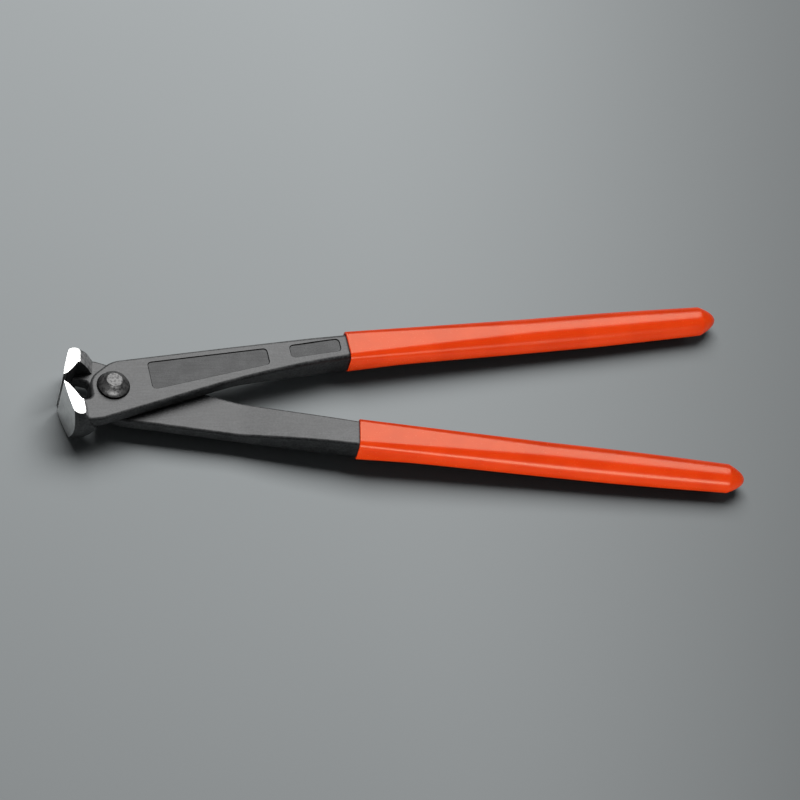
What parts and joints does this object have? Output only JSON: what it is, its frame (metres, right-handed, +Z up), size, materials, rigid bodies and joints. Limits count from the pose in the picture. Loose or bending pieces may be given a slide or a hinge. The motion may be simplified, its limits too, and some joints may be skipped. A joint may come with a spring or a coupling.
{
  "type": "front cutting pliers",
  "caption": "Long-handled front cutting pliers: two forged levers crossing at a lap joint on one rivet, with end-cutting jaws and dipped grips.",
  "frame": {"origin": "centre of the bounding box in plan, on the surface that the pliers lie on", "axes": "+X along the handles away from the jaws, +Y to the upper lever's handle, +Z up from the surface that the pliers lie on"},
  "size_m": [0.3008, 0.0972, 0.0244],
  "materials": {
    "black_steel": "satin black oxide on forged steel; the end faces and cutting edges are ground bright",
    "rivet_steel": "satin black oxide on turned steel",
    "dipped_plastic": "glossy dipped plastic in orange red"
  },
  "bodies": {
    "lower_half": {"lower_lever": "black_steel", "lower_grip": "dipped_plastic", "joint_rivet": "rivet_steel"},
    "upper_half": {"upper_lever": "black_steel", "upper_grip": "dipped_plastic"}
  },
  "joints": [
    {"name": "jaw_pivot", "type": "hinge", "parent": "lower_half", "child": "upper_half", "pos_m": [-0.12786, 0, 0.01173], "axis": [0.0209, 0, 0.9998], "range_deg": [-8, 28]}
  ]
}
